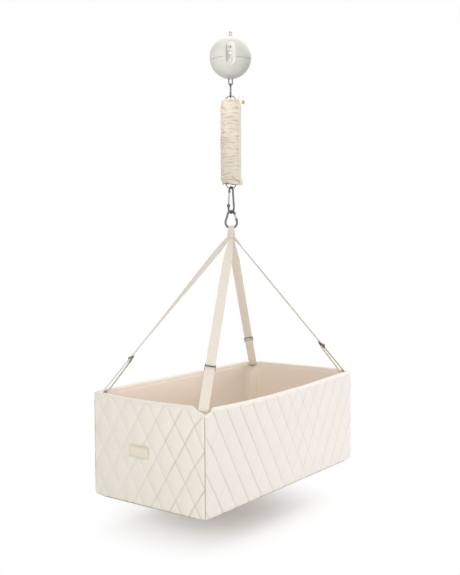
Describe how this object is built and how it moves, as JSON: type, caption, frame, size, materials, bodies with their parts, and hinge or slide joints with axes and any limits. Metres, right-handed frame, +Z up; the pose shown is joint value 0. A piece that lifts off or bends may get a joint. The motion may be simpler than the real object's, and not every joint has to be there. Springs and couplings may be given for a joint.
{
  "type": "hanging baby cradle",
  "caption": "Quilted rectangular baby basket hung by straps with slides from snap hooks, a spring in a gathered sleeve and a ball-shaped motor unit with a top eye",
  "frame": {"origin": "inner top of the hanging eye, where a ceiling hook bears", "axes": "+Z up, +X along the basket, +Y to the basket's back; the control panel and the label are on the -X side"},
  "size_m": [0.8779, 0.4564, 1.512],
  "materials": {
    "quilted_cotton": "matt woven cotton",
    "lining_cotton": "matt woven cotton",
    "cotton_webbing": "matt webbing",
    "sleeve_cotton": "matt gathered cotton",
    "label_leather": "matt cream",
    "stopper_wood": "oiled beech",
    "housing_plastic": "satin moulded",
    "panel_plastic": "satin moulded",
    "dark_plastic": "matt",
    "plated_steel": "dull plated",
    "bright_steel": "brushed",
    "board_green": "solder mask",
    "wall_foam": "open foam",
    "floor_birch": "raw birch ply"
  },
  "bodies": {
    "hanger": {"hanging_eye": "plated_steel", "swivel_nut": "bright_steel"},
    "motor_unit": {"upper_housing": "housing_plastic", "lower_housing": "housing_plastic", "left_housing_screw": "bright_steel", "right_housing_screw": "bright_steel", "control_panel": "panel_plastic", "lamp_window": "dark_plastic", "power_inlet": "dark_plastic", "motor_chassis": "bright_steel", "drive_motor": "bright_steel", "gearbox": "dark_plastic", "guide_bush": "housing_plastic", "circuit_board": "board_green", "lift_belt": "dark_plastic"},
    "upper_button": {"upper_button": "panel_plastic"},
    "lower_button": {"lower_button": "panel_plastic"},
    "drum": {"winch_drum": "bright_steel"},
    "bail": {"lifting_bail": "plated_steel"},
    "small_hook": {"small_hook": "plated_steel"},
    "small_gate": {"small_hook_gate": "bright_steel"},
    "spring_head": {"spring_top_ring": "plated_steel", "spring_top_plug": "bright_steel", "coil_spring": "plated_steel", "safety_cord": "cotton_webbing", "spring_sleeve": "sleeve_cotton", "drawstring": "sleeve_cotton", "cord_stopper": "stopper_wood"},
    "spring_foot": {"spring_bottom_ring": "plated_steel", "spring_bottom_plug": "bright_steel"},
    "upper_hook": {"upper_hook": "plated_steel"},
    "upper_gate": {"upper_hook_gate": "bright_steel"},
    "lower_hook": {"lower_hook": "plated_steel"},
    "lower_gate": {"lower_hook_gate": "bright_steel"},
    "cradle": {"strap_head_loop": "cotton_webbing", "strap_front_left": "cotton_webbing", "strap_back_left": "cotton_webbing", "strap_front_right": "cotton_webbing", "strap_back_right": "cotton_webbing", "rim_frame": "plated_steel", "front_panel": "quilted_cotton", "right_panel": "quilted_cotton", "back_panel": "quilted_cotton", "left_panel": "quilted_cotton", "corner_strip_front_left": "quilted_cotton", "corner_strip_back_left": "quilted_cotton", "corner_strip_front_right": "quilted_cotton", "corner_strip_back_right": "quilted_cotton", "wall_foam": "wall_foam", "lining": "lining_cotton", "rim_binding": "quilted_cotton", "base_panel": "quilted_cotton", "floor_board": "floor_birch", "label_patch": "label_leather"},
    "mattress": {"mattress": "quilted_cotton"},
    "slide_front_left": {"slide_front_left": "plated_steel"},
    "slide_back_left": {"slide_back_left": "plated_steel"},
    "slide_front_right": {"slide_front_right": "plated_steel"},
    "slide_back_right": {"slide_back_right": "plated_steel"}
  },
  "joints": [
    {"name": "top_eye_swivel", "type": "hinge", "parent": "hanger", "child": "motor_unit", "pos_m": [0, 0, -0.0317], "axis": [0, 0, 1], "range_deg": [-90, 90]},
    {"name": "upper_button_press", "type": "slide", "parent": "motor_unit", "child": "upper_button", "axis": [0.7986, 0.6018, 0], "range_m": [0, 0.0012], "stiffness_N_per_m": 900, "springref_m": -0.001},
    {"name": "lower_button_press", "type": "slide", "parent": "motor_unit", "child": "lower_button", "axis": [0.7986, 0.6018, 0], "range_m": [0, 0.0012], "stiffness_N_per_m": 900, "springref_m": -0.001},
    {"name": "bail_lift", "type": "slide", "parent": "motor_unit", "child": "bail", "axis": [0, 0, -1], "range_m": [0, 0.03], "deforming": ["lift_belt"]},
    {"name": "drum_spin", "type": "hinge", "parent": "motor_unit", "child": "drum", "pos_m": [0.00932, 0.00702, -0.07618], "axis": [0.6018, -0.7986, 0], "range_deg": [0, 148]},
    {"name": "small_hook_swing", "type": "hinge", "parent": "bail", "child": "small_hook", "pos_m": [0, 0, -0.1763], "axis": [0.6018, -0.7986, 0], "range_deg": [-20, 20]},
    {"name": "small_hook_gate", "type": "hinge", "parent": "small_hook", "child": "small_gate", "pos_m": [0.00706, 0.00532, -0.20091], "axis": [0.6018, -0.7986, 0], "range_deg": [0, 15], "stiffness_Nm_per_rad": 0.1, "springref_deg": -22.92},
    {"name": "spring_swing", "type": "hinge", "parent": "small_hook", "child": "spring_head", "pos_m": [0, 0, -0.2165], "axis": [0.7986, 0.6018, 0], "range_deg": [-20, 20]},
    {"name": "spring_stretch", "type": "slide", "parent": "spring_head", "child": "spring_foot", "axis": [0, 0, -1], "range_m": [0, 0.15], "stiffness_N_per_m": 600, "springref_m": -0.3, "deforming": ["coil_spring", "spring_sleeve", "safety_cord"]},
    {"name": "upper_hook_swing", "type": "hinge", "parent": "spring_foot", "child": "upper_hook", "pos_m": [0, 0, -0.5232], "axis": [0.6018, -0.7986, 0], "range_deg": [-20, 20]},
    {"name": "upper_hook_gate", "type": "hinge", "parent": "upper_hook", "child": "upper_gate", "pos_m": [0.00724, 0.01627, -0.57815], "axis": [0.9135, -0.4067, 0], "range_deg": [0, 18], "stiffness_Nm_per_rad": 0.15, "springref_deg": -22.92},
    {"name": "lower_hook_swing", "type": "hinge", "parent": "upper_hook", "child": "lower_hook", "pos_m": [0, 0, -0.60565], "axis": [0.4067, 0.9135, 0], "range_deg": [-20, 20]},
    {"name": "lower_hook_gate", "type": "hinge", "parent": "lower_hook", "child": "lower_gate", "pos_m": [0.01004, -0.01333, -0.62582], "axis": [-0.7986, -0.6018, 0], "range_deg": [0, 18], "stiffness_Nm_per_rad": 0.15, "springref_deg": -22.92},
    {"name": "cradle_swing", "type": "hinge", "parent": "lower_hook", "child": "cradle", "pos_m": [0, 0, -0.6576], "axis": [0.6018, -0.7986, 0], "range_deg": [-12, 12]},
    {"name": "mattress_lift_out", "type": "slide", "parent": "cradle", "child": "mattress", "axis": [0, 0, 1], "range_m": [0, 0.22]},
    {"name": "slide_front_left_adjust", "type": "slide", "parent": "cradle", "child": "slide_front_left", "axis": [0.6066, 0.2969, 0.7375], "range_m": [-0.04, 0.05], "deforming": ["strap_front_left"]},
    {"name": "slide_back_left_adjust", "type": "slide", "parent": "cradle", "child": "slide_back_left", "axis": [0.6061, -0.2928, 0.7395], "range_m": [-0.04, 0.05], "deforming": ["strap_back_left"]},
    {"name": "slide_front_right_adjust", "type": "slide", "parent": "cradle", "child": "slide_front_right", "axis": [-0.6061, 0.2928, 0.7395], "range_m": [-0.04, 0.05], "deforming": ["strap_front_right"]},
    {"name": "slide_back_right_adjust", "type": "slide", "parent": "cradle", "child": "slide_back_right", "axis": [-0.6066, -0.2969, 0.7375], "range_m": [-0.04, 0.05], "deforming": ["strap_back_right"]}
  ],
  "couplings": [
    {"joint": "drum_spin", "follows": "bail_lift", "rad_per_m": 85.719}
  ]
}
